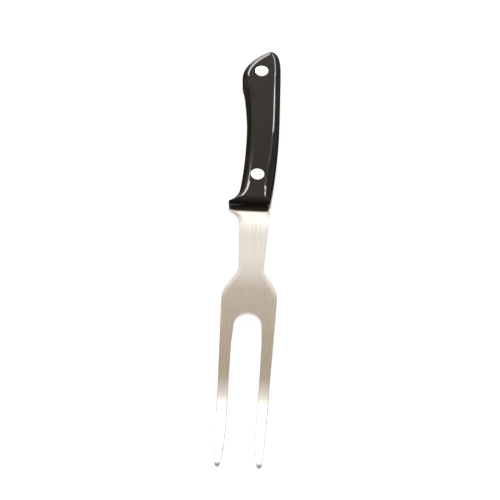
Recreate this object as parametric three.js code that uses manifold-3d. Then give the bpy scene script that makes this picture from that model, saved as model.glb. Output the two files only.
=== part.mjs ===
// Two-tined carving fork: a stamped and bent steel blank with a full tang, two moulded handle scales
// and two pairs of cutler's rivets. Millimetres, +Y from the tines to the butt, +Z up.
// The fork lies on the flat back of its handle and on the belly of its tines.
// In the plan, y = 0 is the front end of the handle and x = 0 is the axis between the tines.
import * as THREE from 'three';
import { mergeVertices } from 'three/addons/utils/BufferGeometryUtils.js';
import Module from 'manifold-3d';

const wasm = await Module();
wasm.setup();

// Overall
const exposedLength = 176;
const handleLength = 117;
const handleThickness = 16;
const plateThickness = 2.2;

// Handle outline, right side: reach of the spine beside the fork's axis
const spineFront = 9;
const spineMiddle = 10.9;
const spineMiddleAt = 27;
const spineSwell = 11.6;
const spineSwellAt = 56;
const spineRear = 10.55;
const spineRearToButt = 20;

// Handle outline, butt: a round peak right of the axis, falling away to the heel of the palm
const peakRight = 3.5;
const peakCorner = 5.9;
const peakCrest = 2.6;
const heelLeft = 13.1;
const heelToButt = 18.5;
const heelShoulder = 9.6;

// Handle outline, left side: finger hollow and guard
const heelRun = 10;
const hollowLeft = 7.7;
const hollowAt = 48;
const hollowRun = 26;
const palmRun = 18;
const guardRootLeft = 9.7;
const guardRootAt = 11.5;
const guardRootRun = 6;
const guardTipLeft = 16;
const guardEnd = 0.3;
const guardSweep = 5;

// Edges of the scales: rounding across the long sides, wider towards the front of the grip, at the guard
// and at the front end
const sideRounding = 4.5;
const gripRounding = 6.2;
const guardRounding = 1.8;
const frontRounding = 0.8;
const edgeLand = 3.4;
const noseLength = 5.1;
const noseLand = 0.9;
const backNoseSet = 2;
const scaleCorner = 2.6;
const guardCorner = 1.8;

// Neck and shoulders of the steel
const tangLip = 0.4;
const stepBulge = 3.5;
const stepLength = 11;
const neckTop = 8.8;
const neckFoot = 7.5;
const neckLength = 40;
const shoulderHalf = 16.45;
const shoulderAt = 63;
const flareFillet = 9;
const flareCorner = 11;

// Tines and the slot between them
const slotEndAt = 72;
const slotEndRadius = 8.2;
const slotHalf = 8.8;
const slotRunOut = 12;
const tineTaperLength = 30;
const tineTaperEase = 15;
const tipOuter = 13.85;
const tipRadius = 1.9;

// Bends of the blank, seen from the side, and the ground tips
const bendStart = 10;
const straightRun = 58;
const tineBendRadius = 200;
const bellyToTip = 46;
const tipThickness = 1;
const tipGrind = 12;

// Two-part rivets
const headDiameter = 8;
const headThickness = 2.2;
const headCrown = 0.15;
const headRecess = 0.05;
const shankDiameter = 5;
const pinDiameter = 3.5;
const boreFloor = 2.5;
const neckRivetX = 0.4;
const neckRivetAt = 20.8;
const buttRivetX = -1.3;
const buttRivetToButt = 17.3;

// Clearances
const headClearance = 0.06;
const shankClearance = 0.15;
const pinClearance = 0.05;
const endClearance = 0.3;

// Fineness of the curves
const planSteps = 14;
const bendSteps = 12;
const outlineStep = 2;
const easedSteps = 2;
const roundingSteps = 6;
const noseSteps = 4;
const roundSides = 36;
const crownSteps = 3;

// Derived sizes
const plateMiddle = handleThickness / 2;
const halfPlate = plateThickness / 2;
const scaleThickness = plateMiddle - halfPlate;
const headSeat = headRecess + headCrown + headThickness;
const frontSeat = handleThickness - headSeat;
const boreEnd = frontSeat - boreFloor;
const guardTipAt = guardCorner + guardEnd;
const heelAt = handleLength - heelToButt;
const spineRearAt = handleLength - spineRearToButt;
const cutMargin = 10;
const rivetPlaces = {
  neck: [neckRivetX, neckRivetAt],
  butt: [buttRivetX, handleLength - buttRivetToButt],
};

const steel = new THREE.MeshStandardMaterial({ color: 0xc4beb4, roughness: 0.32, metalness: 1 });
const blackPlastic = new THREE.MeshStandardMaterial({ color: 0x151313, roughness: 0.12, metalness: 0 });
const rivetSteel = new THREE.MeshStandardMaterial({ color: 0xdedad4, roughness: 0.25, metalness: 1 });

// A closed geometry as a solid: only its positions count, and shared corners become one vertex.
function solid(geometry) {
  geometry.deleteAttribute('normal');
  geometry.deleteAttribute('uv');
  const merged = mergeVertices(geometry);
  return new wasm.Manifold(new wasm.Mesh({
    numProp: 3,
    vertProperties: new Float32Array(merged.attributes.position.array),
    triVerts: new Uint32Array(merged.index.array),
  }));
}

function geometryOf(body) {
  const { vertProperties, triVerts } = body.getMesh();
  const geometry = new THREE.BufferGeometry();
  geometry.setAttribute('position', new THREE.BufferAttribute(vertProperties, 3));
  geometry.setIndex(new THREE.BufferAttribute(triVerts, 1));
  geometry.computeVertexNormals();
  return geometry;
}

function piece(name, geometry, material) {
  const mesh = new THREE.Mesh(geometry, material);
  mesh.name = name;
  return mesh;
}

// A profile drawn in (y, z), carried right across the fork.
function acrossFork(profile, curveSegments) {
  const depth = 2 * (shoulderHalf + cutMargin);
  const slab = new THREE.ExtrudeGeometry(profile, { depth, curveSegments, bevelEnabled: false });
  slab.translate(0, 0, -depth / 2);
  slab.applyMatrix4(new THREE.Matrix4().makeBasis(
    new THREE.Vector3(0, 1, 0), new THREE.Vector3(0, 0, 1), new THREE.Vector3(1, 0, 0)));
  return solid(slab);
}

// A round piece turned about the vertical line through a place in the plan; profile points are (radius, z).
function turned(profile, [x, y]) {
  const points = profile.map(([radius, z]) => new THREE.Vector2(radius, z));
  const lathe = new THREE.LatheGeometry(points, roundSides);
  lathe.rotateX(Math.PI / 2);
  lathe.translate(x, y, 0);
  return solid(lathe);
}

// The edge that tang and scales share: up the spine, round the butt and down to the tip of the guard.
function traceHandle(path) {
  path.splineThru([
    new THREE.Vector2(spineMiddle, spineMiddleAt),
    new THREE.Vector2(spineSwell, spineSwellAt),
    new THREE.Vector2(spineRear, spineRearAt),
  ]);
  path.bezierCurveTo(
    spineRear, spineRearAt + spineRearToButt / 2,
    peakRight + peakCorner, handleLength,
    peakRight, handleLength);
  path.bezierCurveTo(
    peakRight - peakCrest, handleLength,
    -heelLeft, heelAt + heelShoulder,
    -heelLeft, heelAt);
  path.bezierCurveTo(
    -heelLeft, heelAt - heelRun,
    -hollowLeft, hollowAt + hollowRun,
    -hollowLeft, hollowAt);
  path.bezierCurveTo(
    -hollowLeft, hollowAt - palmRun,
    -guardRootLeft, guardRootAt + guardRootRun,
    -guardRootLeft, guardRootAt);
  path.bezierCurveTo(
    -guardRootLeft, guardRootAt - guardSweep / 2,
    -guardTipLeft + guardSweep, guardTipAt + guardSweep / 2,
    -guardTipLeft, guardTipAt);
}

// Plan of the steel: the tang, the step behind the guard, neck, shoulders, two tines and the slot.
function forkPlan() {
  const tipStart = exposedLength - 2 * tipRadius;
  const tipMiddle = tipOuter - tipRadius;
  const tipInner = tipOuter - 2 * tipRadius;
  const taperStart = exposedLength - tineTaperLength;
  const slotCentreAt = slotEndAt + slotEndRadius;
  const plan = new THREE.Shape();
  plan.moveTo(spineFront, tangLip);
  traceHandle(plan);
  plan.lineTo(-guardTipLeft, tangLip);
  plan.bezierCurveTo(-guardTipLeft, tangLip - stepBulge, -neckTop, tangLip - stepBulge, -neckTop, -stepLength);
  plan.lineTo(-neckFoot, -neckLength);
  plan.bezierCurveTo(
    -neckFoot, -neckLength - flareFillet,
    -shoulderHalf, -shoulderAt + flareCorner,
    -shoulderHalf, -shoulderAt);
  plan.lineTo(-tipOuter, -tipStart);
  plan.quadraticCurveTo(-tipOuter, -exposedLength, -tipMiddle, -exposedLength);
  plan.quadraticCurveTo(-tipInner, -exposedLength, -tipInner, -tipStart);
  plan.quadraticCurveTo(-slotHalf, -taperStart - tineTaperEase, -slotHalf, -taperStart);
  plan.lineTo(-slotHalf, -slotCentreAt - slotRunOut);
  plan.lineTo(-slotEndRadius, -slotCentreAt);
  plan.absarc(0, -slotCentreAt, slotEndRadius, Math.PI, 0, true);
  plan.lineTo(slotHalf, -slotCentreAt - slotRunOut);
  plan.lineTo(slotHalf, -taperStart);
  plan.quadraticCurveTo(slotHalf, -taperStart - tineTaperEase, tipInner, -tipStart);
  plan.quadraticCurveTo(tipInner, -exposedLength, tipMiddle, -exposedLength);
  plan.quadraticCurveTo(tipOuter, -exposedLength, tipOuter, -tipStart);
  plan.lineTo(shoulderHalf, -shoulderAt);
  plan.bezierCurveTo(
    shoulderHalf, -shoulderAt + flareCorner,
    neckFoot, -neckLength - flareFillet,
    neckFoot, -neckLength);
  plan.lineTo(neckTop, -stepLength);
  plan.bezierCurveTo(neckTop, tangLip - stepBulge, spineFront, tangLip - stepBulge, spineFront, tangLip);
  for (const [x, y] of Object.values(rivetPlaces)) {
    const hole = new THREE.Path();
    hole.absarc(x, y, shankDiameter / 2 + shankClearance, 0, 2 * Math.PI, true);
    plan.holes.push(hole);
  }
  return plan;
}

// The bent sheet from the side: flat tang, long bend down along the neck, and the tines swept up again.
// The straight stretch is the common tangent of the two bends. Its slope, and with it the radius of the
// bend in the neck, follow from the drop and the run, so that the belly meets the table.
function sheetProfile() {
  const drop = plateMiddle - halfPlate;
  const bellyAt = exposedLength - bellyToTip;
  const run = bellyAt - bendStart;
  const slope = 2 * Math.atan2(drop, run + straightRun);
  const neckBendRadius = (run - straightRun * Math.cos(slope)) / Math.sin(slope) - tineBendRadius;
  const grindAngle = Math.asin((bellyToTip - tipGrind) / tineBendRadius);
  const tipAngle = Math.asin(bellyToTip / tineBendRadius);
  const neckCentre = [-bendStart, plateMiddle - neckBendRadius];
  const tineCentre = [-bellyAt, halfPlate + tineBendRadius];
  const up = Math.PI / 2;
  const tipPoint = (radius) => [
    tineCentre[0] - radius * Math.sin(tipAngle),
    tineCentre[1] - radius * Math.cos(tipAngle),
  ];
  const profile = new THREE.Shape();
  profile.moveTo(handleLength + cutMargin, plateMiddle + halfPlate);
  profile.lineTo(-bendStart, plateMiddle + halfPlate);
  profile.absarc(...neckCentre, neckBendRadius + halfPlate, up, up + slope, false);
  profile.absarc(...tineCentre, tineBendRadius - halfPlate, slope - up, -grindAngle - up, true);
  profile.lineTo(...tipPoint(tineBendRadius - tipThickness / 2));
  profile.lineTo(...tipPoint(tineBendRadius + tipThickness / 2));
  profile.absarc(...tineCentre, tineBendRadius + halfPlate, -grindAngle - up, slope - up, false);
  profile.absarc(...neckCentre, neckBendRadius - halfPlate, up + slope, up, true);
  profile.lineTo(handleLength + cutMargin, plateMiddle - halfPlate);
  return profile;
}

function forkBody() {
  const depth = handleThickness + 2 * cutMargin;
  const blank = new THREE.ExtrudeGeometry(forkPlan(), { depth, curveSegments: planSteps, bevelEnabled: false });
  blank.translate(0, 0, -cutMargin);
  return solid(blank).intersect(acrossFork(sheetProfile(), bendSteps));
}

// Width of the rounded edge along the sides, easing from the front of the grip to the swell.
function sideRoundingAt(y) {
  return THREE.MathUtils.lerp(gripRounding, sideRounding, Math.min(y / spineSwellAt, 1));
}

// Outline of a scale as even samples: place, inward direction and width of the rounded edge.
function scaleOutline() {
  const path = new THREE.Path();
  path.moveTo(spineFront, scaleCorner);
  traceHandle(path);
  path.lineTo(-guardTipLeft, guardCorner);
  path.quadraticCurveTo(-guardTipLeft, 0, -guardTipLeft + guardCorner, 0);
  path.lineTo(spineFront - scaleCorner, 0);
  path.quadraticCurveTo(spineFront, 0, spineFront, scaleCorner);
  const roundingAtEnd = [guardRounding, guardRounding, frontRounding, frontRounding, sideRoundingAt(scaleCorner)];
  const sideCurves = path.curves.length - roundingAtEnd.length;
  const samples = [];
  path.curves.forEach((curve, index) => {
    const end = roundingAtEnd[index - sideCurves];
    const start = roundingAtEnd[index - sideCurves - 1] ?? sideRoundingAt(guardRootAt);
    const steps = Math.max(2, Math.round(curve.getLength() / outlineStep));
    for (let step = 0; step < steps; step += 1) {
      const along = step / steps;
      const place = curve.getPointAt(along);
      const tangent = curve.getTangentAt(along);
      samples.push({
        place,
        inward: new THREE.Vector2(-tangent.y, tangent.x),
        rounding: index < sideCurves ? sideRoundingAt(place.y) : THREE.MathUtils.lerp(start, end, along),
      });
    }
  });
  return samples;
}

// The inward direction eases round corners, averaged over a few samples to each side.
function easedInsets(samples) {
  return samples.map((_, centre) => {
    const inset = new THREE.Vector2();
    for (let offset = -easedSteps; offset <= easedSteps; offset += 1) {
      const near = samples[(centre + offset + samples.length) % samples.length];
      inset.addScaledVector(near.inward, near.rounding / (2 * easedSteps + 1));
    }
    return inset;
  });
}

// A scale as a loft of its outline: a flat joint face, an upright wall, an elliptic edge and a flat front.
function scaleBlock() {
  const samples = scaleOutline();
  const insets = easedInsets(samples);
  const count = samples.length;
  const rings = [{ inward: 0, z: 0 }];
  for (let step = 0; step <= roundingSteps; step += 1) {
    const turn = (step / roundingSteps) * Math.PI / 2;
    rings.push({ inward: 1 - Math.cos(turn), z: edgeLand + (scaleThickness - edgeLand) * Math.sin(turn) });
  }
  const positions = [];
  for (const ring of rings) {
    samples.forEach(({ place }, i) => {
      positions.push(place.x + ring.inward * insets[i].x, place.y + ring.inward * insets[i].y, ring.z);
    });
  }
  const triangles = [];
  for (let ring = 0; ring + 1 < rings.length; ring += 1) {
    for (let i = 0; i < count; i += 1) {
      const a = ring * count + i;
      const b = ring * count + (i + 1) % count;
      triangles.push(a, b, b + count, a, b + count, a + count);
    }
  }
  const top = (rings.length - 1) * count;
  const outer = samples.map(({ place }) => place);
  const inner = outer.map((place, i) => place.clone().add(insets[i]));
  for (const [a, b, c] of THREE.ShapeUtils.triangulateShape(outer, [])) {
    triangles.push(a, c, b);
  }
  for (const [a, b, c] of THREE.ShapeUtils.triangulateShape(inner, [])) {
    triangles.push(top + a, top + b, top + c);
  }
  const block = new THREE.BufferGeometry();
  block.setAttribute('position', new THREE.Float32BufferAttribute(positions, 3));
  block.setIndex(triangles);
  return solid(block);
}

// Room for a scale behind its rounded nose, open at the butt and above.
function noseRoom(noseAt) {
  const faceAt = noseAt + noseLength;
  const room = new THREE.Shape();
  room.moveTo(handleLength + cutMargin, -cutMargin);
  room.lineTo(handleLength + cutMargin, scaleThickness + cutMargin);
  room.lineTo(faceAt, scaleThickness + cutMargin);
  room.absellipse(
    faceAt, noseLand, noseLength, scaleThickness - noseLand, Math.PI / 2, Math.PI, false, 0);
  room.lineTo(noseAt, -cutMargin);
  return acrossFork(room, noseSteps);
}

// Stepped hole in a scale: a through hole for the shank and a counterbore for the head.
function rivetHole(place) {
  const shank = shankDiameter / 2 + shankClearance;
  const head = headDiameter / 2 + headClearance;
  const seat = scaleThickness - headSeat;
  return turned([
    [0, -cutMargin], [shank, -cutMargin], [shank, seat], [head, seat],
    [head, scaleThickness + cutMargin], [0, scaleThickness + cutMargin],
  ], place);
}

function scaleBody(noseAt) {
  let body = scaleBlock().intersect(noseRoom(noseAt));
  for (const place of Object.values(rivetPlaces)) {
    body = body.subtract(rivetHole(place));
  }
  return body;
}

// The same solid turned over through the joint plane, with its faces still pointing out.
function mirrored(geometry) {
  const copy = geometry.clone();
  copy.scale(1, 1, -1);
  const index = copy.index.array;
  for (let i = 0; i < index.length; i += 3) {
    [index[i], index[i + 1]] = [index[i + 1], index[i]];
  }
  copy.computeVertexNormals();
  return copy;
}

// Crowned head of a rivet from its rim to the axis; the sign is +1 for a front head and -1 for a back one.
function crownPoints(rimZ, sign) {
  const points = [];
  for (let step = 0; step <= crownSteps; step += 1) {
    const share = 1 - step / crownSteps;
    points.push([share * headDiameter / 2, rimZ + sign * headCrown * (1 - share * share)]);
  }
  return points;
}

function rivetTube(place) {
  const tubeEnd = headSeat + endClearance;
  const bore = pinDiameter / 2 + pinClearance;
  return turned([
    [0, boreEnd], [bore, boreEnd], [bore, tubeEnd], [shankDiameter / 2, tubeEnd],
    [shankDiameter / 2, frontSeat], [headDiameter / 2, frontSeat],
    ...crownPoints(frontSeat + headThickness, 1),
  ], place);
}

function rivetPin(place) {
  const pinEnd = boreEnd - endClearance;
  return turned([
    ...crownPoints(headSeat - headThickness, -1).reverse(),
    [headDiameter / 2, headSeat], [pinDiameter / 2, headSeat], [pinDiameter / 2, pinEnd], [0, pinEnd],
  ], place);
}

// The back scale is the front one turned over, with its nose set back so that it stays behind the steel.
const frontScale = piece('front_scale', geometryOf(scaleBody(0)), blackPlastic);
const backScale = piece('back_scale', mirrored(geometryOf(scaleBody(backNoseSet))), blackPlastic);
frontScale.position.z = plateMiddle + halfPlate;
backScale.position.z = plateMiddle - halfPlate;

const carvingFork = new THREE.Group();
carvingFork.add(piece('fork', geometryOf(forkBody()), steel), frontScale, backScale);
for (const [name, place] of Object.entries(rivetPlaces)) {
  carvingFork.add(piece(`${name}_rivet_tube`, geometryOf(rivetTube(place)), rivetSteel));
  carvingFork.add(piece(`${name}_rivet_pin`, geometryOf(rivetPin(place)), rivetSteel));
}
// The origin is on the table, below the middle of the fork's length.
carvingFork.position.y = (exposedLength - handleLength) / 2;

export default carvingFork;
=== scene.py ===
"""Carving fork on a white table: a brushed steel blank, black moulded scales and polished rivets.

The pieces are surfaces worked out in millimetres in the fork's plan, where y = 0 is the front end of the
handle and x = 0 the axis between the tines. They are put into the part's frame, in metres, at the end.
"""
import math

import bmesh
import bpy
import numpy as np
from mathutils import Matrix, Vector


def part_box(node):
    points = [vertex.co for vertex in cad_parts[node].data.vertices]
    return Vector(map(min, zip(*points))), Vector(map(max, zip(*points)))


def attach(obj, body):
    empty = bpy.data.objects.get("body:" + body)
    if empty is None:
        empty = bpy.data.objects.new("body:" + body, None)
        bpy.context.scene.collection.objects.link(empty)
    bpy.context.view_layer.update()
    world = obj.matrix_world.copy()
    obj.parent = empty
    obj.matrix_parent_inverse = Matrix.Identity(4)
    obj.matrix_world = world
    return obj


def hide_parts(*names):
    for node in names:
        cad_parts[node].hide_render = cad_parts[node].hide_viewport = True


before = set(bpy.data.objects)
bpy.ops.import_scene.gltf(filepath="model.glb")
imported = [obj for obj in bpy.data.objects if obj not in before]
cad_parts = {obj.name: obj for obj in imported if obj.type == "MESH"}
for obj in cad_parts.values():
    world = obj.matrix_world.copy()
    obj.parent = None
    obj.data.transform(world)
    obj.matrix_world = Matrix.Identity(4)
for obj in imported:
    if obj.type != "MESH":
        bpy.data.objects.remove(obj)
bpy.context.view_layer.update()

MM = 0.001


def solid_box(node):
    """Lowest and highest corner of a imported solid, in millimetres."""
    return np.array([list(corner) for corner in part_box(node)]) / MM


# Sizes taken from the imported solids
front_low, front_high = solid_box("front_scale")
back_low, back_high = solid_box("back_scale")
fork_low, fork_high = solid_box("fork")
HANDLE_START = front_low[1]
HANDLE_LENGTH = front_high[1] - front_low[1]
HANDLE_THICKNESS = front_high[2] - back_low[2]
EXPOSED_LENGTH = front_low[1] - fork_low[1]
PLATE = front_low[2] - back_high[2]
PLATE_MIDDLE = HANDLE_THICKNESS / 2
SCALE_THICKNESS = (HANDLE_THICKNESS - PLATE) / 2
BACK_NOSE_SET = back_low[1] - front_low[1]
SHOULDER_HALF = fork_high[0]
GUARD_TIP_LEFT = -front_low[0]

# Handle outline, right side
SPINE_FRONT = 8.85
SPINE_MIDDLE, SPINE_MIDDLE_AT = 10.75, 27
SPINE_SWELL, SPINE_SWELL_AT = front_high[0], 56
SPINE_REAR, SPINE_REAR_TO_BUTT = 10.55, 20

# Handle outline, butt
PEAK_RIGHT, PEAK_CORNER, PEAK_CREST = 3.5, 5.9, 2.6
HEEL_LEFT, HEEL_TO_BUTT, HEEL_SHOULDER = 13.14, 20.4, 11.3

# Handle outline, left side
HEEL_RUN, HOLLOW_RUN, PALM_RUN = 5, 20.8, 15
WAIST_LEFT, WAIST_AT, WAIST_RUN, WAIST_LEAN = 10.9, 84.6, 7, -0.14
HOLLOW_LEFT, HOLLOW_AT = 7.92, 45.3
GUARD_ROOT_LEFT, GUARD_ROOT_AT, GUARD_ROOT_RUN, GUARD_ROOT_LEAN = 9.6, 11.6, 9, 0.11
GUARD_CORNER, GUARD_END, GUARD_SWEEP = 1.8, 0.3, 5
SCALE_CORNER = 2.6

# Edges of the scales
SIDE_ROUNDING, GUARD_ROUNDING, FRONT_ROUNDING = 4.5, 3.4, 0.8
CORNER_ROUNDING, GRIP_ROUNDING, GRIP_ROUNDING_AT, SPINE_ROUNDING = 3.4, 6.8, 17, 5.7
HOLLOW_ROUNDING = 6.3
PALM_ROUNDING, PALM_ROUNDING_FROM, PALM_ROUNDING_TO, HEEL_ROUNDING_AT = 5.85, 60, 80, 98
SWEEP_ROUNDING_POWER = 0.7
EDGE_LAND = 3.4
NOSE_LENGTH, NOSE_LAND = 5.1, 0.9
CREASE_POWER = 3
INSET_EASE = 5

# Corners of the patch that makes a scale's face: distances along the outline before and after the peak of
# the butt, and shares of the front's rounded corners
REAR_BEFORE, REAR_AFTER = 8, 12
FRONT_RIGHT_SHARE, FRONT_LEFT_SHARE, GUARD_SHARE = 0.8, 0.4, 0.2

# Steel plan
TANG_LIP, STEP_BULGE, STEP_LENGTH = 0.4, 3.5, 11
NECK_TOP, NECK_FOOT, NECK_LENGTH = 8.8, 7.5, 40
SHOULDER_AT, FLARE_FILLET, FLARE_CORNER = 63, 9, 11
SLOT_END_AT, SLOT_END_RADIUS, SLOT_HALF, SLOT_RUN_OUT = 72, 8.2, 8.8, 12
TINE_START, TINE_HALF = 82, 16
TINE_BOW, TINE_BOW_AT = 14.4, 150
TINE_TAPER_LENGTH, TINE_TAPER_EASE = 30, 15
TIP_OUTER, TIP_RADIUS, TIP_POINT = 13.4, 1.55, 0.6

# Bends, ground tips and rounded edges of the steel
BEND_START, STRAIGHT_RUN, TINE_BEND_RADIUS, BELLY_TO_TIP = 10, 58, 200, 46
TIP_THICKNESS, TIP_GRIND = 1, 12
NECK_EDGE, SLOT_EDGE, TINE_EDGE, TANG_EDGE, TIP_EDGE = 0.12, 0, 0.4, 0.12, 0.14
EDGE_EASE, TANG_EASE = 0.8, 4
SOFT_REACH, SOFT_DEPTH, SOFT_FULL_TO, SOFT_END = 2.6, 0.16, 6, 1
TIP_ROUNDING, TIP_DROP = 4, 0.7
LIFT_FROM, LIFT_RUN, LIFT_SLOPE = 123, 9, 0.028

# Rivet heads stand a hair above the faces, which give way so that the heads stay in the box
HEAD_CROWN, HEAD_PROUD, HEAD_RIM, HEAD_DEPTH = 0.1, 0.1, 0.06, 1.2
FACE_DROP = HEAD_CROWN + HEAD_PROUD
# A half that ends this near to the top has its head there
TOP_MARGIN = 1

# Points along a curve of the plan and along a short line
CURVE_COUNT, LINE_COUNT = 120, 9
# Points along and across a scale's face and round its edge, and the power that crowds them to the front
LONG_COUNT, SHORT_COUNT, RING_COUNT, FRONT_CROWD = 300, 48, 24, 1.5
# Points along tang, step, neck, flare and shoulder, along a tine, and the power that crowds these to the tip
BLANK_COUNTS, TINE_COUNT, TIP_CROWD = (180, 48, 60, 72, 48), 260, 1.6
# Points across the blank's faces and round its edges
FACE_COUNT, EDGE_COUNT = 15, 7
# Points across a rivet's dome, round its rim and about its axis
DOME_COUNT, RIM_COUNT, TURN_COUNT = 14, 7, 96
# Distance below which points become one, least reach of a moving average, and degrees of a sharp edge
WELD, LEAST_REACH, SHARP_ANGLE = 0.001, 0.001, 50
# Units of the brushing map to a metre
BRUSH_SCALE = 10


# Curves in the plan

def bezier(*control, count=CURVE_COUNT):
    """A Bezier curve: its control points weighted by the Bernstein polynomials at even steps."""
    degree = len(control) - 1
    power = np.arange(degree + 1)
    binomial = np.array([math.comb(degree, k) for k in power])
    step = np.linspace(0, 1, count)[:, None]
    return (binomial * step**power * (1 - step) ** (degree - power)) @ np.array(control, float)


def joined(*curves):
    """Curves end to end, with each shared point kept once."""
    return np.concatenate([curve[:-1] for curve in curves[:-1]] + [curves[-1]])


def through(*points):
    """A Catmull-Rom spline: between neighbours, a cubic whose slope at each point is half the step between
    the points beside it."""
    p = np.array([points[0], *points, points[-1]], float)
    return joined(*(bezier(b, b + (c - a) / 6, c - (d - b) / 6, c)
                    for a, b, c, d in zip(p, p[1:], p[2:], p[3:])))


def arc_length(curve):
    """Distance along a curve from its first point to each of its points."""
    return np.concatenate([[0], np.cumsum(np.hypot(*np.diff(curve[:, :2], axis=0).T))])


def sampled(values, length, at):
    """Values known at distances along a curve, read at other distances."""
    return np.stack([np.interp(at, length, column) for column in values.T], axis=-1)


def spaced(curve, count, crowd=1):
    """A curve at count points, even along its length or, with crowd above 1, closer towards its end."""
    length = arc_length(curve)
    return sampled(curve, length, length[-1] * (1 - np.linspace(1, 0, count) ** crowd))


def eased(values, length, reach):
    """A moving average along a curve: the mean of the values within reach to each side, less near the ends,
    found as a difference of running sums."""
    running = np.concatenate([np.zeros((1, values.shape[1])), np.cumsum(
        (values[1:] + values[:-1]) / 2 * np.diff(length)[:, None], axis=0)])
    near = np.clip(np.minimum(length, length[-1] - length), LEAST_REACH, reach)
    low = np.clip(length - near, 0, length[-1])
    high = np.clip(length + near, 0, length[-1])
    return (sampled(running, length, high) - sampled(running, length, low)) / (high - low)[:, None]


def left_normal(curve):
    """Unit vector to the left of a curve at each of its points."""
    tangent = np.gradient(curve[:, :2], arc_length(curve), axis=0)
    tangent /= np.hypot(*tangent.T)[:, None]
    return np.stack([-tangent[:, 1], tangent[:, 0]], -1)


def handle_edge(start):
    """The edge that tang and scales share: the spine up to the peak of the butt, the palm side down to the
    root of the guard, and the guard's sweep out to its tip."""
    guard_tip_at = GUARD_CORNER + GUARD_END
    rear_at = HANDLE_LENGTH - SPINE_REAR_TO_BUTT
    heel_at = HANDLE_LENGTH - HEEL_TO_BUTT
    spine = through((SPINE_FRONT, start), (SPINE_MIDDLE, SPINE_MIDDLE_AT),
                    (SPINE_SWELL, SPINE_SWELL_AT), (SPINE_REAR, rear_at))
    corner = bezier((SPINE_REAR, rear_at), (SPINE_REAR, rear_at + SPINE_REAR_TO_BUTT / 2),
                    (PEAK_RIGHT + PEAK_CORNER, HANDLE_LENGTH), (PEAK_RIGHT, HANDLE_LENGTH))
    butt = bezier((PEAK_RIGHT, HANDLE_LENGTH), (PEAK_RIGHT - PEAK_CREST, HANDLE_LENGTH),
                  (-HEEL_LEFT, heel_at + HEEL_SHOULDER), (-HEEL_LEFT, heel_at))
    waist = np.array((-WAIST_LEFT, WAIST_AT))
    waist_run = np.array((WAIST_LEAN, 1)) * WAIST_RUN
    heel = bezier((-HEEL_LEFT, heel_at), (-HEEL_LEFT, heel_at - HEEL_RUN), waist + waist_run, waist)
    palm = bezier(waist, waist - waist_run, (-HOLLOW_LEFT, HOLLOW_AT + HOLLOW_RUN), (-HOLLOW_LEFT, HOLLOW_AT))
    root = np.array((-GUARD_ROOT_LEFT, GUARD_ROOT_AT))
    root_lean = np.array((GUARD_ROOT_LEAN, 1))
    hollow = bezier((-HOLLOW_LEFT, HOLLOW_AT), (-HOLLOW_LEFT, HOLLOW_AT - PALM_RUN),
                    root + root_lean * GUARD_ROOT_RUN, root)
    sweep = bezier(root, root - root_lean * GUARD_SWEEP / 2,
                   (-GUARD_TIP_LEFT + GUARD_SWEEP, guard_tip_at + GUARD_SWEEP / 2),
                   (-GUARD_TIP_LEFT, guard_tip_at))
    return joined(spine, corner), joined(butt, heel, palm, hollow), sweep


# Meshes

def quads(rows, columns, first):
    """Corner numbers of the quads of a grid whose points are numbered row by row from first."""
    number = first + np.arange(rows * columns).reshape(rows, columns)
    return np.stack([number[:-1, :-1], number[:-1, 1:], number[1:, 1:], number[1:, :-1]], -1).reshape(-1, 4)


def brush_map(mesh):
    """A flat map whose first direction runs across the fork, along x and up its walls, and whose second
    runs along it, so that brushing lies lengthwise."""
    place = np.zeros(len(mesh.vertices) * 3)
    mesh.vertices.foreach_get("co", place)
    corner = np.zeros(len(mesh.loops), int)
    mesh.loops.foreach_get("vertex_index", corner)
    x, y, z = place.reshape(-1, 3)[corner].T
    layer = mesh.uv_layers.new(name="brush")
    layer.data.foreach_set("uv", np.stack([x + z, y], -1).ravel() * BRUSH_SCALE)


def closed_piece(name, grids, material, node, cap=False):
    """One closed mesh from grids of points, in place of a node: shared edges are welded, rows that shrink to
    a point become triangles, and the faces are turned outwards. A cap fills the loop of the first grid's
    first row."""
    points = [grid.reshape(-1, 3) for grid in grids]
    first = np.cumsum([0] + [len(block) for block in points])
    faces = np.concatenate([quads(*grid.shape[:2], start) for grid, start in zip(grids, first)]).tolist()
    if cap:
        faces.append(list(range(grids[0].shape[1] - 1)))
    mesh = bpy.data.meshes.new(name)
    mesh.from_pydata((np.concatenate(points) + (0, HANDLE_START, 0)) * MM, [], faces)
    body = bmesh.new()
    body.from_mesh(mesh)
    bmesh.ops.remove_doubles(body, verts=body.verts, dist=WELD * MM)
    bmesh.ops.recalc_face_normals(body, faces=body.faces)
    body.to_mesh(mesh)
    body.free()
    mesh.polygons.foreach_set("use_smooth", np.ones(len(mesh.polygons), bool))
    mesh.set_sharp_from_angle(angle=math.radians(SHARP_ANGLE))
    mesh.materials.append(material)
    brush_map(mesh)
    piece = bpy.data.objects.new(name, mesh)
    bpy.context.scene.collection.objects.link(piece)
    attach(piece, "root")
    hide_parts(node)


# Scales

def side_rounding(x, y):
    """Width of the rounded edge, by steps along y: widest at the grip on the spine side and from the hollow
    to the guard on the palm side."""
    spine = np.interp(y, [0, GRIP_ROUNDING_AT, SPINE_MIDDLE_AT, SPINE_SWELL_AT],
                      [CORNER_ROUNDING, GRIP_ROUNDING, SPINE_ROUNDING, SIDE_ROUNDING])
    palm = np.interp(y, [HOLLOW_AT, PALM_ROUNDING_FROM, PALM_ROUNDING_TO, HEEL_ROUNDING_AT],
                     [HOLLOW_ROUNDING, PALM_ROUNDING, PALM_ROUNDING, SIDE_ROUNDING])
    return np.where(x > 0, spine, palm)


def with_rounding(curve, start, end, power=1):
    """A curve with the width of the rounded edge as a third column, changing from start to end by a power of
    the share of the curve."""
    return np.column_stack([curve, start + (end - start) * np.linspace(0, 1, len(curve)) ** power])


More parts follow.
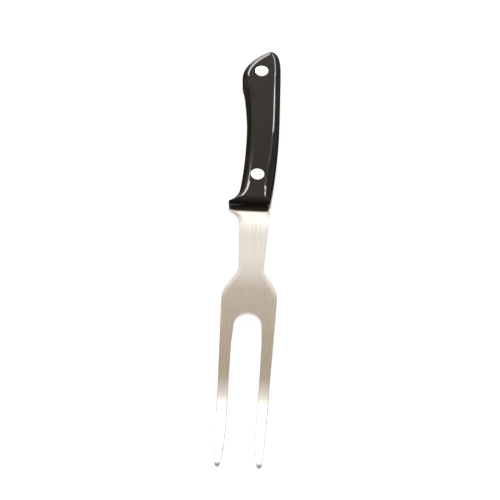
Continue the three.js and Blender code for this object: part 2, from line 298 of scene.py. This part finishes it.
def scale_outline():
    """Closed outline of a scale, from the spine's front round the butt and guard, with its edge widths."""
    spine, palm, sweep = handle_edge(SCALE_CORNER)
    guard_end = bezier(sweep[-1], (-GUARD_TIP_LEFT, GUARD_CORNER), count=LINE_COUNT)
    guard_corner = bezier((-GUARD_TIP_LEFT, GUARD_CORNER), (-GUARD_TIP_LEFT, 0),
                          (-GUARD_TIP_LEFT + GUARD_CORNER, 0))
    front = bezier(guard_corner[-1], (SPINE_FRONT - SCALE_CORNER, 0))
    front_corner = bezier(front[-1], (SPINE_FRONT, 0), (SPINE_FRONT, SCALE_CORNER))
    sides = joined(spine, palm)
    return joined(
        np.column_stack([sides, side_rounding(*sides.T)]),
        with_rounding(sweep, HOLLOW_ROUNDING, GUARD_ROUNDING, SWEEP_ROUNDING_POWER),
        with_rounding(guard_end, GUARD_ROUNDING, GUARD_ROUNDING),
        with_rounding(guard_corner, GUARD_ROUNDING, FRONT_ROUNDING),
        with_rounding(front, FRONT_ROUNDING, FRONT_ROUNDING),
        with_rounding(front_corner, FRONT_ROUNDING, side_rounding(SPINE_FRONT, SCALE_CORNER)))


def coons(front, rear, left, right):
    """A patch between four edges: the two ruled surfaces between facing edges, added, less the bilinear
    surface through the corners."""
    length = arc_length(right)
    u = (length / length[-1])[:, None, None]
    v = np.linspace(0, 1, len(front))[None, :, None]
    across = (1 - v) * left[:, None] + v * right[:, None]
    along = (1 - u) * front[None] + u * rear[None]
    corners = (1 - u) * ((1 - v) * front[0] + v * front[-1]) + u * ((1 - v) * rear[0] + v * rear[-1])
    return across + along - corners


def scale_grids(nose_at):
    """A scale standing on its joint face: rings of the outline that move inwards by 1 - cos t of the edge
    width while they climb by sin t, from t = 0 at the edge to a quarter turn at the face, and a four-sided
    patch for the face. The nose takes the height down by a quarter ellipse along y. The whole drop is the root
    of the summed powers of the edge's and the nose's drops, which rounds the crease where they meet."""
    outline = scale_outline()
    length = arc_length(outline)
    total = length[-1]
    inset = left_normal(outline) * outline[:, 2:]
    round_and_round = np.concatenate([length[:-1], length[:-1] + total, length + 2 * total])
    inset = eased(np.concatenate([inset[:-1], inset[:-1], inset]), round_and_round, INSET_EASE)
    inset = inset[len(length) - 1:][:len(length)]

    peak_at = length[np.argmax(outline[:, 1])]
    front_right = total - FRONT_RIGHT_SHARE * SCALE_CORNER
    front_left = (total - (GUARD_TIP_LEFT + SPINE_FRONT) + FRONT_LEFT_SHARE * SCALE_CORNER
                  + GUARD_SHARE * GUARD_CORNER)
    marks = [front_right - total, peak_at - REAR_BEFORE, peak_at + REAR_AFTER, front_left, front_right]
    dense_front = np.linspace(0, 1, LONG_COUNT + 1) ** FRONT_CROWD
    even = np.linspace(0, 1, SHORT_COUNT + 1)
    steps = [dense_front, even, 1 - dense_front[::-1], even]
    at = joined(*(a + (b - a) * step for a, b, step in zip(marks, marks[1:], steps))) % total
    edge = sampled(outline[:, :2], length, at)
    edge[:, 1] = np.maximum(edge[:, 1], nose_at)
    inset = sampled(inset, length, at)

    turn = np.linspace(0, math.pi / 2, RING_COUNT)[:, None, None]
    rim_plan = edge + (1 - np.cos(turn)) * inset
    sides = np.cumsum([0, LONG_COUNT, SHORT_COUNT, LONG_COUNT, SHORT_COUNT])
    right, rear, left, front = (rim_plan[-1, a:b + 1] for a, b in zip(sides, sides[1:]))
    face_plan = coons(front, rear[::-1], left[::-1], right)

    face_height = SCALE_THICKNESS - FACE_DROP

    def raised(plan, edge_drop):
        """Points of a plan at the scale's height there."""
        back = np.clip(1 - (plan[..., 1] - nose_at) / NOSE_LENGTH, 0, 1)
        nose_drop = (face_height - NOSE_LAND) * (1 - np.sqrt(1 - back**2))
        drop = (edge_drop**CREASE_POWER + nose_drop**CREASE_POWER) ** (1 / CREASE_POWER)
        height = np.maximum(face_height - drop, NOSE_LAND / 2)
        return np.concatenate([plan, height[..., None]], -1)

    edge_drop = (face_height - EDGE_LAND) * (1 - np.sin(turn[..., 0]))
    rim = raised(rim_plan, np.broadcast_to(edge_drop, rim_plan.shape[:2]))
    foot = np.concatenate([edge, np.zeros((len(edge), 1))], -1)[None]
    return [np.concatenate([foot, rim]), raised(face_plan, np.zeros(face_plan.shape[:2]))]


def on_front(grid):
    """A scale's grid lifted onto the front of the tang."""
    return grid + (0, 0, PLATE_MIDDLE + PLATE / 2)


def on_back(grid):
    """A scale's grid turned over onto the back of the tang."""
    return grid * (1, 1, -1) + (0, 0, PLATE_MIDDLE - PLATE / 2)


# Steel blank

def sheet_height(y, offset):
    """Height of the bent sheet at a distance from its middle: flat under the handle, an arc down the neck,
    a straight that is the common tangent of both arcs, and an arc that sweeps the tines up."""
    belly = PLATE / 2
    run = EXPOSED_LENGTH - BELLY_TO_TIP - BEND_START
    drop = PLATE_MIDDLE - belly
    slope = 2 * math.atan2(drop, run + STRAIGHT_RUN)
    neck_radius = (run - STRAIGHT_RUN * math.cos(slope)) / math.sin(slope) - TINE_BEND_RADIUS
    belly_at = BELLY_TO_TIP - EXPOSED_LENGTH
    neck_reach = np.minimum(y + BEND_START, 0)
    neck = PLATE_MIDDLE - neck_radius + np.sqrt((neck_radius + offset) ** 2 - neck_reach**2)
    neck_end_at = -BEND_START - neck_radius * math.sin(slope)
    neck_end = PLATE_MIDDLE - neck_radius * (1 - math.cos(slope))
    straight = neck_end + (y - neck_end_at) * math.tan(slope) + offset / math.cos(slope)
    tine_reach = np.minimum(y - belly_at, TINE_BEND_RADIUS / 2)
    tine = belly + TINE_BEND_RADIUS - np.sqrt((TINE_BEND_RADIUS - offset) ** 2 - tine_reach**2)
    on_tine = y < belly_at + (TINE_BEND_RADIUS - offset) * math.sin(slope)
    on_neck = y > -BEND_START - (neck_radius + offset) * math.sin(slope)
    return np.where(on_neck, neck, np.where(on_tine, tine, straight))


def tine_lift(y):
    """Extra height of the tines, none at their tips: its slope grows evenly over a short run, which tightens
    the start of their sweep, and then falls evenly to the tip."""
    start = np.clip((-LIFT_FROM - y) / LIFT_RUN, 0, 1)
    rest_length = EXPOSED_LENGTH - LIFT_FROM - LIFT_RUN
    rest = np.clip((-LIFT_FROM - LIFT_RUN - y) / rest_length, 0, 1)
    return LIFT_SLOPE * (LIFT_RUN / 2 * (start**2 - rest**2) + rest_length * (rest - rest**2))


def half_thickness(y):
    """Half the sheet's thickness, ground thinner towards the tips."""
    tip = TIP_GRIND - EXPOSED_LENGTH
    return np.interp(y, [-EXPOSED_LENGTH, tip], [TIP_THICKNESS / 2, PLATE / 2])


def on_sheet(plan, side, sink=0):
    """Points of a plan on the front (side 1) or the back (side -1) of the sheet, sunk below that face. The
    front falls off to the tips by the square of the share of the rounding that is left."""
    y = plan[..., 1]
    tip_drop = TIP_DROP * np.clip(1 - (y + EXPOSED_LENGTH) / TIP_ROUNDING, 0, 1) ** 2
    height = sheet_height(y, side * half_thickness(y)) + tine_lift(y) - side * sink - max(side, 0) * tip_drop
    return np.concatenate([plan, height[..., None]], -1)


def edge_radius(y, exposed):
    """Radius of the steel's rounded edge: a mean of the radii of tip, exposed edge and tang, whose shares
    change evenly along the rounded tip and past the end of the handle."""
    past_tip = np.clip((y + EXPOSED_LENGTH) / TIP_ROUNDING, 0, 1)
    on_tang = np.clip((y + TANG_EASE) / (TANG_LIP + TANG_EASE), 0, 1)
    return TIP_EDGE * (1 - past_tip) + exposed * (past_tip - on_tang) + TANG_EDGE * on_tang


def soft_edge(y, distance):
    """Depth by which the faces of neck and shoulders fall off softly towards their edge: the square of the
    share of the reach that is left at a distance from the edge."""
    depth = np.interp(y, [-TINE_START, -SHOULDER_AT, -SOFT_FULL_TO, -SOFT_END], [0, SOFT_DEPTH, SOFT_DEPTH, 0])
    return depth * np.clip(1 - distance / SOFT_REACH, 0, 1) ** 2


def rounded_wall(edge, inward, exposed, sunk):
    """The wall along an edge with both corners rounded: quarter circles from the face, sunk or not, down to
    the wall and on to the back face."""
    turn = np.linspace(0, math.pi / 2, EDGE_COUNT)
    radius = edge_radius(edge[:, 1], exposed)[:, None]
    plan = edge[:, None] + inward[:, None] * (radius * (1 - np.sin(turn)))[..., None]
    sink = radius * (1 - np.cos(turn)) + sunk * soft_edge(plan[..., 1], 0)
    return np.concatenate([on_sheet(plan, 1, sink), on_sheet(plan, -1, sink)[:, ::-1]], axis=1)


def blank_half(side):
    """Half of the blank, right (1) or left (-1): ruled faces between its inner line and its outer edge, and
    rounded walls along the outer edge and the slot. The inner line is the middle of the tang and neck, then
    the round end and the side of the slot."""
    spine, palm, sweep = handle_edge(TANG_LIP)
    root = SPINE_FRONT if side > 0 else GUARD_TIP_LEFT
    lip = (side * root, TANG_LIP)
    tang = spine[::-1] if side > 0 else joined(palm, sweep, bezier(sweep[-1], lip, count=LINE_COUNT))
    step = bezier(lip, (side * root, TANG_LIP - STEP_BULGE),
                  (side * NECK_TOP, TANG_LIP - STEP_BULGE), (side * NECK_TOP, -STEP_LENGTH))
    tip_start = 2 * TIP_RADIUS - EXPOSED_LENGTH
    tip_middle = (TIP_OUTER - TIP_RADIUS, -EXPOSED_LENGTH)
    tip_inner = TIP_OUTER - 2 * TIP_RADIUS
    mirror = (side, 1)
    neck = bezier((NECK_TOP, -STEP_LENGTH), (NECK_FOOT, -NECK_LENGTH)) * mirror
    flare = bezier((NECK_FOOT, -NECK_LENGTH), (NECK_FOOT, -NECK_LENGTH - FLARE_FILLET),
                   (SHOULDER_HALF, FLARE_CORNER - SHOULDER_AT), (SHOULDER_HALF, -SHOULDER_AT)) * mirror
    shoulder = bezier((SHOULDER_HALF, -SHOULDER_AT), (TINE_HALF, -TINE_START)) * mirror
    tine = joined(bezier((TINE_HALF, -TINE_START), (TINE_BOW, -TINE_BOW_AT), (TIP_OUTER, tip_start)),
                  bezier((TIP_OUTER, tip_start), (TIP_OUTER, TIP_POINT - EXPOSED_LENGTH), tip_middle)) * mirror

    slot_centre = -SLOT_END_AT - SLOT_END_RADIUS
    around = np.linspace(math.pi / 2, 0, CURVE_COUNT)
    arch = np.stack([SLOT_END_RADIUS * np.cos(around), slot_centre + SLOT_END_RADIUS * np.sin(around)], -1)
    taper_start = TINE_TAPER_LENGTH - EXPOSED_LENGTH
    slot_side = joined(
        bezier((SLOT_END_RADIUS, slot_centre), (SLOT_HALF, slot_centre - SLOT_RUN_OUT)),
        bezier((SLOT_HALF, slot_centre - SLOT_RUN_OUT), (SLOT_HALF, taper_start)),
        bezier((SLOT_HALF, taper_start), (SLOT_HALF, taper_start - TINE_TAPER_EASE), (tip_inner, tip_start)),
        bezier((tip_inner, tip_start), (tip_inner, TIP_POINT - EXPOSED_LENGTH), tip_middle))

    outlines = zip([tang, step, neck, flare, shoulder], BLANK_COUNTS)
    outer = joined(*(spaced(curve, count) for curve, count in outlines), spaced(tine, TINE_COUNT, TIP_CROWD))
    outer_inward = eased(left_normal(outer) * -side, arc_length(outer), EDGE_EASE)
    outer_inward /= np.hypot(*outer_inward.T)[:, None]
    slot = joined(spaced(arch, BLANK_COUNTS[-1]), spaced(slot_side, TINE_COUNT, TIP_CROWD)) * mirror
    slot_inward = eased(left_normal(slot) * side, arc_length(slot), EDGE_EASE)
    slot_inward /= np.hypot(*slot_inward.T)[:, None]

    middle = joined(bezier((PEAK_RIGHT, HANDLE_LENGTH - TANG_EDGE), (PEAK_RIGHT, HANDLE_LENGTH - HEEL_TO_BUTT),
                           (0, HANDLE_LENGTH - HEEL_TO_BUTT), (0, HOLLOW_AT)),
                    bezier((0, HOLLOW_AT), (0, TANG_LIP)))
    stations = [TANG_LIP, -STEP_LENGTH, -NECK_LENGTH, SLOT_EDGE - SLOT_END_AT]
    middles = [middle, *(bezier((0, a), (0, b)) for a, b in zip(stations, stations[1:]))]
    slot_edge = np.interp(slot[:, 1], [slot_centre - SLOT_RUN_OUT, slot_centre], [TINE_EDGE, SLOT_EDGE])
    slot_face = slot + slot_inward * edge_radius(slot[:, 1], slot_edge)[:, None]
    inner = joined(*(spaced(curve, count) for curve, count in zip(middles, BLANK_COUNTS)), slot_face)
    outer_edge = np.interp(outer[:, 1], [-TINE_START, -SHOULDER_AT], [TINE_EDGE, NECK_EDGE])
    outer_face = outer + outer_inward * edge_radius(outer[:, 1], outer_edge)[:, None]
    across = np.linspace(0, 1, FACE_COUNT)[None, :, None]
    plan = inner[:, None] * (1 - across) + outer_face[:, None] * across
    sink = soft_edge(plan[..., 1], np.linalg.norm(plan - outer_face[:, None], axis=-1))
    return [on_sheet(plan, 1, sink), on_sheet(plan, -1, sink),
            rounded_wall(outer, outer_inward, outer_edge, 1), rounded_wall(slot, slot_inward, slot_edge, 0)]


# Rivets

def rivet_grid(node):
    """A rivet half, turned about its axis: a head crowned by the square of the distance from the axis, with a
    rounded rim, and a shank half as wide."""
    low, high = solid_box(node)
    across, along, _ = (low + high) / 2
    radius = (high[0] - low[0]) / 2
    on_top = high[2] > HANDLE_THICKNESS - TOP_MARGIN
    end = low[2] if on_top else HANDLE_THICKNESS - high[2]
    dome = np.linspace(0, 1, DOME_COUNT)
    rim = np.linspace(0, math.pi / 2, RIM_COUNT)[1:]
    flat = radius - HEAD_RIM
    rim_top = HANDLE_THICKNESS - HEAD_CROWN
    head_foot = HANDLE_THICKNESS - HEAD_DEPTH
    profile = np.concatenate([
        np.stack([flat * dome, HANDLE_THICKNESS - HEAD_CROWN * dome**2], -1),
        np.stack([flat + HEAD_RIM * np.sin(rim), rim_top - HEAD_RIM * (1 - np.cos(rim))], -1),
        [(radius, head_foot), (radius / 2, head_foot), (radius / 2, end), (0, end)]])
    angle = np.linspace(0, 2 * math.pi, TURN_COUNT + 1)[:, None]
    height = profile[:, 1] if on_top else HANDLE_THICKNESS - profile[:, 1]
    return np.stack([across + profile[:, 0] * np.cos(angle),
                     along - HANDLE_START + profile[:, 0] * np.sin(angle),
                     np.broadcast_to(height, (TURN_COUNT + 1, len(profile)))], -1)


# Materials: noises have a scale for each direction, reliefs are in metres
NOISE_LOW, NOISE_HIGH = 0.3, 0.7
STEEL_FINE, STEEL_BROAD = (2600, 25, 2600), (1500, 11, 1500)
STEEL_DARK, STEEL_LIGHT = (0.61, 0.575, 0.525), (0.67, 0.635, 0.585)
STEEL_ROUGHNESS, STEEL_RELIEF, STEEL_SHEEN = (0.19, 0.22), 0.0000006, 0.9
# Added roughness of the tines, and where along y, in metres, it is full and where it starts
WORN_ROUGHNESS, WORN_FULL_AT, WORN_FROM = 0.14, -0.104, -0.076
PLASTIC_CLOUD, PLASTIC_RIPPLE = (160, 90, 160), (420, 260, 420)
PLASTIC_DARK, PLASTIC_LIGHT = (0.010, 0.007, 0.004), (0.014, 0.010, 0.006)
PLASTIC_ROUGHNESS, PLASTIC_RELIEF, PLASTIC_IOR = (0.02, 0.04), 0.0000012, 1.40
RIVET_WEAR, RIVET_ROUGHNESS = (900, 700, 900), (0.12, 0.20)
RIVET_DARK, RIVET_LIGHT = (0.82, 0.81, 0.79), (0.88, 0.87, 0.85)
WHITE = (1, 1, 1, 1)


def new_material(name):
    """A material with its node tree and its main shader."""
    material = bpy.data.materials.new(name)
    material.use_nodes = True
    return material, material.node_tree, material.node_tree.nodes["Principled BSDF"]


def position(tree, coordinates):
    """The x, y and z of a point in some coordinates."""
    place = tree.nodes.new("ShaderNodeTexCoord")
    apart = tree.nodes.new("ShaderNodeSeparateXYZ")
    tree.links.new(place.outputs[coordinates], apart.inputs["Vector"])
    return apart.outputs


def streaks(tree, scale, detail):
    """Noise in the object's own coordinates, stretched by a scale for each direction."""
    place = tree.nodes.new("ShaderNodeTexCoord")
    stretch = tree.nodes.new("ShaderNodeMapping")
    stretch.inputs["Scale"].default_value = scale
    noise = tree.nodes.new("ShaderNodeTexNoise")
    noise.inputs["Scale"].default_value = 1
    noise.inputs["Detail"].default_value = detail
    tree.links.new(place.outputs["Object"], stretch.inputs["Vector"])
    tree.links.new(stretch.outputs["Vector"], noise.inputs["Vector"])
    return noise.outputs["Fac"]


def tones(tree, value, stops):
    """A colour for each stop of a value."""
    ramp = tree.nodes.new("ShaderNodeValToRGB")
    points = ramp.color_ramp.elements
    while len(points) < len(stops):
        points.new(1)
    for point, (at, colour) in zip(points, stops):
        point.position = at
        point.color = (*colour, 1)
    tree.links.new(value, ramp.inputs["Fac"])
    return ramp.outputs["Color"]


def mottled(tree, noise, dark, light, shader):
    """A base colour that goes from dark to light with a noise."""
    tree.links.new(tones(tree, noise, [(NOISE_LOW, dark), (NOISE_HIGH, light)]), shader.inputs["Base Color"])


def spread(tree, value, low, high, start=NOISE_LOW, end=NOISE_HIGH):
    """A value between start and end, the middle of a noise if not given, spread from low to high."""
    reach = tree.nodes.new("ShaderNodeMapRange")
    for name, number in (("From Min", start), ("From Max", end), ("To Min", low), ("To Max", high)):
        reach.inputs[name].default_value = number
    tree.links.new(value, reach.inputs["Value"])
    return reach.outputs["Result"]


def worked(tree, operation, *values):
    """A number worked out by a node from numbers and other nodes' values."""
    step = tree.nodes.new("ShaderNodeMath")
    step.operation = operation
    for socket, value in zip(step.inputs, values):
        if isinstance(value, (int, float)):
            socket.default_value = value
        else:
            tree.links.new(value, socket)
    return step.outputs["Value"]


def bumps(tree, value, shader, distance):
    """Relief of a value, up to a height in metres."""
    bump = tree.nodes.new("ShaderNodeBump")
    bump.inputs["Strength"].default_value = 1
    bump.inputs["Distance"].default_value = distance
    tree.links.new(value, bump.inputs["Height"])
    tree.links.new(bump.outputs["Normal"], shader.inputs["Normal"])


def mixed(tree, share, first, second, output):
    """Two shaders mixed by the share of the second and led to an output node."""
    mix = tree.nodes.new("ShaderNodeMixShader")
    for socket, value in zip(mix.inputs, (share, first, second)):
        tree.links.new(value, socket)
    tree.links.new(mix.outputs["Shader"], tree.nodes[output].inputs["Surface"])


def brushed_steel():
    """Steel brushed lengthwise: fine streaks in tone, roughness and relief, a sheen spread across them, and a
    duller finish towards the tips."""
    material, tree, shader = new_material("brushed_steel")
    fine = streaks(tree, STEEL_FINE, detail=2)
    broad = streaks(tree, STEEL_BROAD, detail=2)
    mottled(tree, broad, STEEL_DARK, STEEL_LIGHT, shader)
    worn = spread(tree, position(tree, "Object")["Y"], WORN_ROUGHNESS, 0, WORN_FULL_AT, WORN_FROM)
    roughness = worked(tree, "ADD", spread(tree, fine, *STEEL_ROUGHNESS), worn)
    tree.links.new(roughness, shader.inputs["Roughness"])
    bumps(tree, fine, shader, STEEL_RELIEF)
    shader.inputs["Metallic"].default_value = 1
    shader.inputs["Anisotropic"].default_value = STEEL_SHEEN
    brushing = tree.nodes.new("ShaderNodeTangent")
    brushing.direction_type = "UV_MAP"
    brushing.uv_map = "brush"
    tree.links.new(brushing.outputs["Tangent"], shader.inputs["Tangent"])
    return material


def black_plastic():
    """Polished black plastic with faint clouding and a slight ripple."""
    material, tree, shader = new_material("black_plastic")
    cloud = streaks(tree, PLASTIC_CLOUD, detail=4)
    ripple = streaks(tree, PLASTIC_RIPPLE, detail=2)
    mottled(tree, cloud, PLASTIC_DARK, PLASTIC_LIGHT, shader)
    tree.links.new(spread(tree, cloud, *PLASTIC_ROUGHNESS), shader.inputs["Roughness"])
    bumps(tree, ripple, shader, PLASTIC_RELIEF)
    shader.inputs["IOR"].default_value = PLASTIC_IOR
    return material


def polished_steel():
    """Polished rivet steel with faint wear."""
    material, tree, shader = new_material("polished_steel")
    wear = streaks(tree, RIVET_WEAR, detail=4)
    mottled(tree, wear, RIVET_DARK, RIVET_LIGHT, shader)
    tree.links.new(spread(tree, wear, *RIVET_ROUGHNESS), shader.inputs["Roughness"])
    shader.inputs["Metallic"].default_value = 1
    return material


# Pieces of the fork
steel = brushed_steel()
plastic = black_plastic()
rivet_steel = polished_steel()
closed_piece("steel_blank", blank_half(1) + blank_half(-1), steel, "fork")
closed_piece("front_handle_scale", [on_front(grid) for grid in scale_grids(0)], plastic,
             "front_scale", cap=True)
closed_piece("back_handle_scale", [on_back(grid) for grid in scale_grids(BACK_NOSE_SET)], plastic,
             "back_scale", cap=True)
for node in ("neck_rivet_tube", "neck_rivet_pin", "butt_rivet_tube", "butt_rivet_pin"):
    closed_piece(node + "_turned", [rivet_grid(node)], rivet_steel, node)


# Studio: lamps with their swing about y and angle from +y, their width and height, all in degrees, and their
# radiance; their distance in metres
LAMPS = (("right_lamp", 18, 52.25, 12, 2.3, 20),
         ("right_low_lamp", 18, 44.6, 12, 13, 9),
         ("right_dim_lamp", 17, 54.5, 12, 2.2, 0.8),
         ("left_lamp", -17.3, 45.2, 12, 15, 20),
         ("butt_fill_lamp", -20, 31, 11, 13, 7),
         ("butt_lamp", -55, 20, 17, 16, 7))
LAMP_DISTANCE = 8
# Colours of the walls by degrees from +y: a panel in the middle, and flags to its sides
PANEL = ((0, (0.90, 0.90, 0.90)), (50.5, (1.02, 1.00, 0.97)), (53, (0.79, 0.74, 0.70)),
         (54.2, (0.62, 0.59, 0.56)), (55.2, (0.90, 0.88, 0.86)), (56.5, (0.58, 0.57, 0.55)),
         (58, (0.72, 0.71, 0.70)), (59.6, (1.05, 1.05, 1.04)), (61.2, (0.99, 0.98, 0.96)),
         (62.7, (0.89, 0.86, 0.83)), (64.2, (0.80, 0.76, 0.72)), (65.4, (0.72, 0.65, 0.57)),
         (66.4, (0.46, 0.38, 0.30)), (67.3, (0.41, 0.32, 0.24)), (68.8, (0.50, 0.41, 0.33)),
         (72, (0.36, 0.27, 0.20)), (80, (0.48, 0.43, 0.38)), (102, (0.52, 0.49, 0.46)),
         (123, (0.30, 0.28, 0.26)), (144, (0.17, 0.16, 0.15)), (164, (0.12, 0.11, 0.10)),
         (180, (0.10, 0.09, 0.08)))
FLAGS = ((0, (0.15, 0.15, 0.15)), (45, (0.10, 0.10, 0.10)), (58, (0.14, 0.14, 0.14)),
         (61, (0.25, 0.24, 0.23)), (68, (0.60, 0.58, 0.55)), (75, (0.65, 0.63, 0.60)),
         (100, (0.30, 0.29, 0.28)), (130, (0.08, 0.08, 0.08)), (180, (0.05, 0.05, 0.05)))
# Share of the right flag, and the x of the directions between which each flag fades
RIGHT_FLAG_SHARE, RIGHT_FLAG, LEFT_FLAG = 0.68, (0.30, 0.42), (-0.60, -0.47)
WALL_STRENGTH = 1.3
# Sockets of a colour mix
MIX_FIRST, MIX_SECOND, MIX_RESULT = 6, 7, 2
# Table in metres, with the zones that reflections show bright: each edge fades between two numbers
TABLE_REACH, TABLE_HEIGHT = 6, -0.00005
BESIDE_FRONT, BESIDE_REAR, BESIDE_REACH = (-0.105, -0.09), (0.026, 0.036), (0.04, 0.06)
BEHIND_FRONT, BEHIND_REACH = (0.134, 0.144), (0.025, 0.04)
TABLE_GRAIN, TABLE_DARK, TABLE_LIGHT = (60, 60, 60), (0.20, 0.20, 0.20), (0.22, 0.22, 0.22)
# The table's glow, and the grey of the painted shade that reflections show outside the bright zones
TABLE_GLOW, TABLE_SHADE = 0.9, (0.06, 0.06, 0.06, 1)
# Camera: azimuth from -y, the tines' end, towards +x and elevation above the table, in degrees; distance and
# target in metres; sensor and focal length in millimetres
CAMERA_AZIMUTH, CAMERA_ELEVATION, CAMERA_DISTANCE = 3.23, 56, 1.5
CAMERA_TARGET = (-0.0014, 0.0002, 0.0080)
SENSOR_WIDTH, FOCAL_LENGTH = 36, 181.5


def softbox(name, swing, from_back, wide, high, radiance):
    """A rectangular lamp of even radiance, sized by the degrees it spans, that the camera doesn't see. Its
    place is given by the angle from +y, behind the butt, and the swing about y from straight up to the right.
    Its upper edge follows a circle about y."""
    a, b = math.radians(swing), math.radians(from_back)
    outwards = Vector((math.sin(b) * math.sin(a), math.cos(b), math.sin(b) * math.cos(a)))
    upper = (outwards * outwards.y - Vector((0, 1, 0))).normalized()
    lamp = bpy.data.lights.new(name, "AREA")
    lamp.shape = "RECTANGLE"
    lamp.size = 2 * LAMP_DISTANCE * math.tan(math.radians(wide / 2))
    lamp.size_y = 2 * LAMP_DISTANCE * math.tan(math.radians(high / 2))
    lamp.energy = radiance * math.pi * lamp.size * lamp.size_y
    holder = bpy.data.objects.new(name, lamp)
    holder.location = outwards * LAMP_DISTANCE
    holder.rotation_euler = Matrix((upper.cross(outwards), upper, outwards)).transposed().to_euler()
    holder.visible_camera = False
    bpy.context.scene.collection.objects.link(holder)


def studio_walls():
    """Walls all round, white to the camera: a bright panel behind the fork that turns warm above it and dim
    in front, between flags that are dark but for a band overhead."""
    world = bpy.data.worlds.new("studio")
    bpy.context.scene.world = world
    world.use_nodes = True
    tree = world.node_tree
    view = position(tree, "Generated")
    from_back = worked(tree, "DIVIDE", worked(tree, "ARCCOSINE", view["Y"]), math.pi)
    panel, flags = (tones(tree, from_back, [(degrees / 180, colour) for degrees, colour in stops])
                    for stops in (PANEL, FLAGS))
    walls = tree.nodes.new("ShaderNodeMix")
    walls.data_type = "RGBA"
    tree.links.new(worked(tree, "ADD", spread(tree, view["X"], 0, RIGHT_FLAG_SHARE, *RIGHT_FLAG),
                          spread(tree, view["X"], 1, 0, *LEFT_FLAG)), walls.inputs["Factor"])
    tree.links.new(panel, walls.inputs[MIX_FIRST])
    tree.links.new(flags, walls.inputs[MIX_SECOND])
    studio = tree.nodes["Background"]
    studio.inputs["Strength"].default_value = WALL_STRENGTH
    tree.links.new(walls.outputs[MIX_RESULT], studio.inputs["Color"])
    paper = tree.nodes.new("ShaderNodeBackground")
    paper.inputs["Color"].default_value = WHITE
    path = tree.nodes.new("ShaderNodeLightPath")
    mixed(tree, path.outputs["Is Camera Ray"], studio.outputs["Background"], paper.outputs["Background"],
          "World Output")


def white_table():
    """A white table whose own share of light is seen by the camera and in reflections only. Reflections show
    it bright beside the neck and the slot and behind the butt, and elsewhere a dark grey that is painted
    shade."""
    material, tree, shader = new_material("white_table")
    mottled(tree, streaks(tree, TABLE_GRAIN, detail=3), TABLE_DARK, TABLE_LIGHT, shader)
    shader.inputs["Roughness"].default_value = 1
    shader.inputs["Specular IOR Level"].default_value = 0
    shader.inputs["Emission Color"].default_value = WHITE
    path = tree.nodes.new("ShaderNodeLightPath")
    mirrored = worked(tree, "MAXIMUM", path.outputs["Is Glossy Ray"], path.outputs["Is Transmission Ray"])
    seen = worked(tree, "MAXIMUM", path.outputs["Is Camera Ray"], mirrored)
    tree.links.new(worked(tree, "MULTIPLY", seen, TABLE_GLOW), shader.inputs["Emission Strength"])
    place = position(tree, "Object")
    aside = worked(tree, "ABSOLUTE", place["X"])
    beside = worked(tree, "MULTIPLY", spread(tree, place["Y"], 0, 1, *BESIDE_FRONT),
                    spread(tree, place["Y"], 1, 0, *BESIDE_REAR))
    beside = worked(tree, "MULTIPLY", beside, spread(tree, aside, 1, 0, *BESIDE_REACH))
    behind = worked(tree, "MULTIPLY", spread(tree, place["Y"], 0, 1, *BEHIND_FRONT),
                    spread(tree, aside, 1, 0, *BEHIND_REACH))
    lit = worked(tree, "ADD", beside, behind)
    # Outside the bright zones, reflections show the table as a dark grey diffuse: painted shade
    shaded = worked(tree, "MULTIPLY", mirrored, worked(tree, "SUBTRACT", 1, lit))
    shade = tree.nodes.new("ShaderNodeBsdfDiffuse")
    shade.inputs["Color"].default_value = TABLE_SHADE
    mixed(tree, shaded, shader.outputs["BSDF"], shade.outputs["BSDF"], "Material Output")
    return material


for lamp in LAMPS:
    softbox(*lamp)
studio_walls()

table_mesh = bpy.data.meshes.new("table")
table_mesh.from_pydata([(x * TABLE_REACH, y * TABLE_REACH, TABLE_HEIGHT)
                        for x, y in ((-1, -1), (1, -1), (1, 1), (-1, 1))], [], [(0, 1, 2, 3)])
table_mesh.materials.append(white_table())
table = bpy.data.objects.new("table", table_mesh)
bpy.context.scene.collection.objects.link(table)

# Camera at the photo's angle
azimuth, elevation = math.radians(CAMERA_AZIMUTH), math.radians(CAMERA_ELEVATION)
away = Vector((math.sin(azimuth) * math.cos(elevation), -math.cos(azimuth) * math.cos(elevation),
               math.sin(elevation)))
target = Vector(CAMERA_TARGET)
lens = bpy.data.cameras.new("photo")
lens.sensor_width = SENSOR_WIDTH
lens.lens = FOCAL_LENGTH
camera = bpy.data.objects.new("photo", lens)
camera.location = target + away * CAMERA_DISTANCE
camera.rotation_euler = (target - camera.location).to_track_quat("-Z", "Y").to_euler()
bpy.context.scene.collection.objects.link(camera)
bpy.context.scene.camera = camera
bpy.context.scene.view_settings.view_transform = "Standard"
